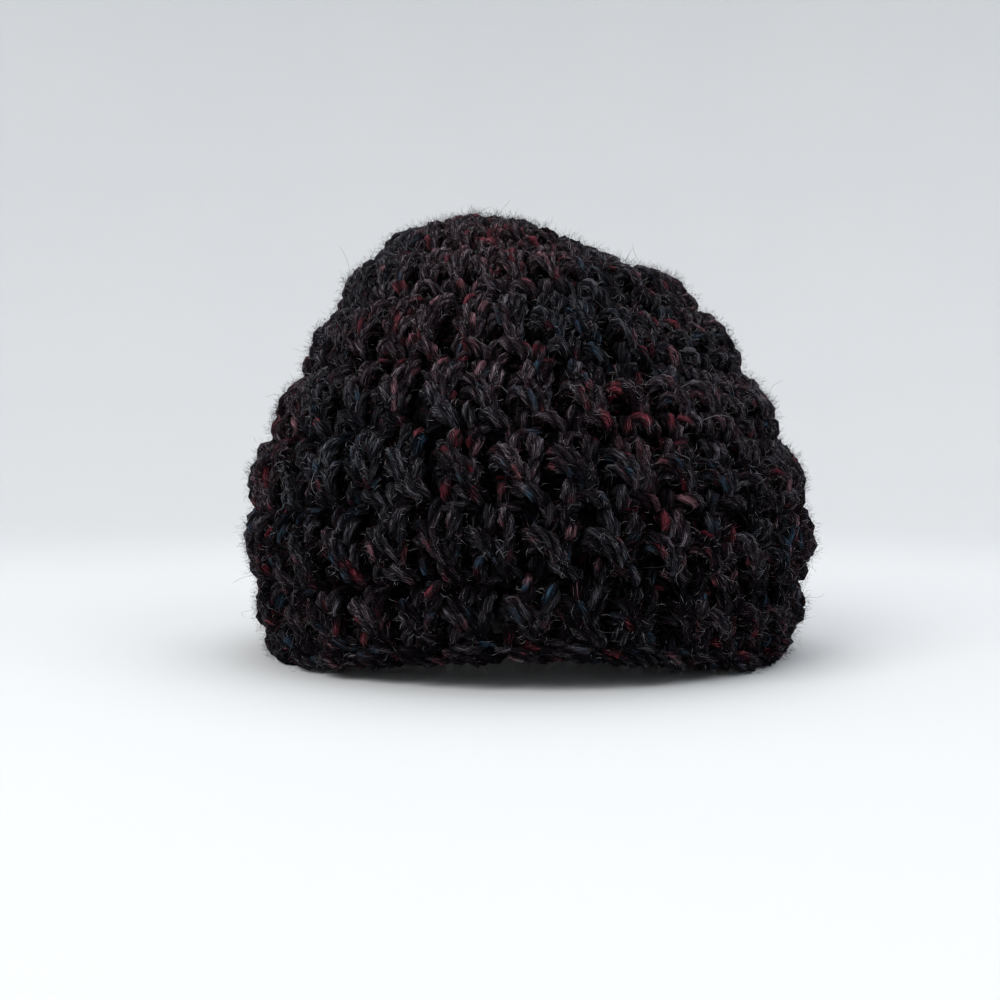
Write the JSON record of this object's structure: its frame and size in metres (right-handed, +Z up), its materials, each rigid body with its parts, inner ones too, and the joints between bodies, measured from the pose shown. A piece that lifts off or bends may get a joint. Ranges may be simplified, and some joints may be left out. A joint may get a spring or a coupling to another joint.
{
  "type": "chunky crocheted beanie",
  "caption": "Slouchy crocheted beanie in thick tweed yarn, a ribbed soft dome with a hollow for the head and a chain edge round its rim.",
  "frame": {"origin": "middle of the box that holds the hat, on the surface that its rim rests on", "axes": "+Z up out of the crown, -Y out of the front, +X to the right of the hat seen from the front"},
  "size_m": [0.212, 0.2226, 0.1679],
  "materials": {
    "tweed_yarn": "lofty matte charcoal yarn with crimson, salmon, pale grey and slate blue flecks and a short fuzz"
  },
  "bodies": {
    "root": {"crown": "tweed_yarn", "body": "tweed_yarn", "rim_edging": "tweed_yarn"}
  },
  "joints": []
}
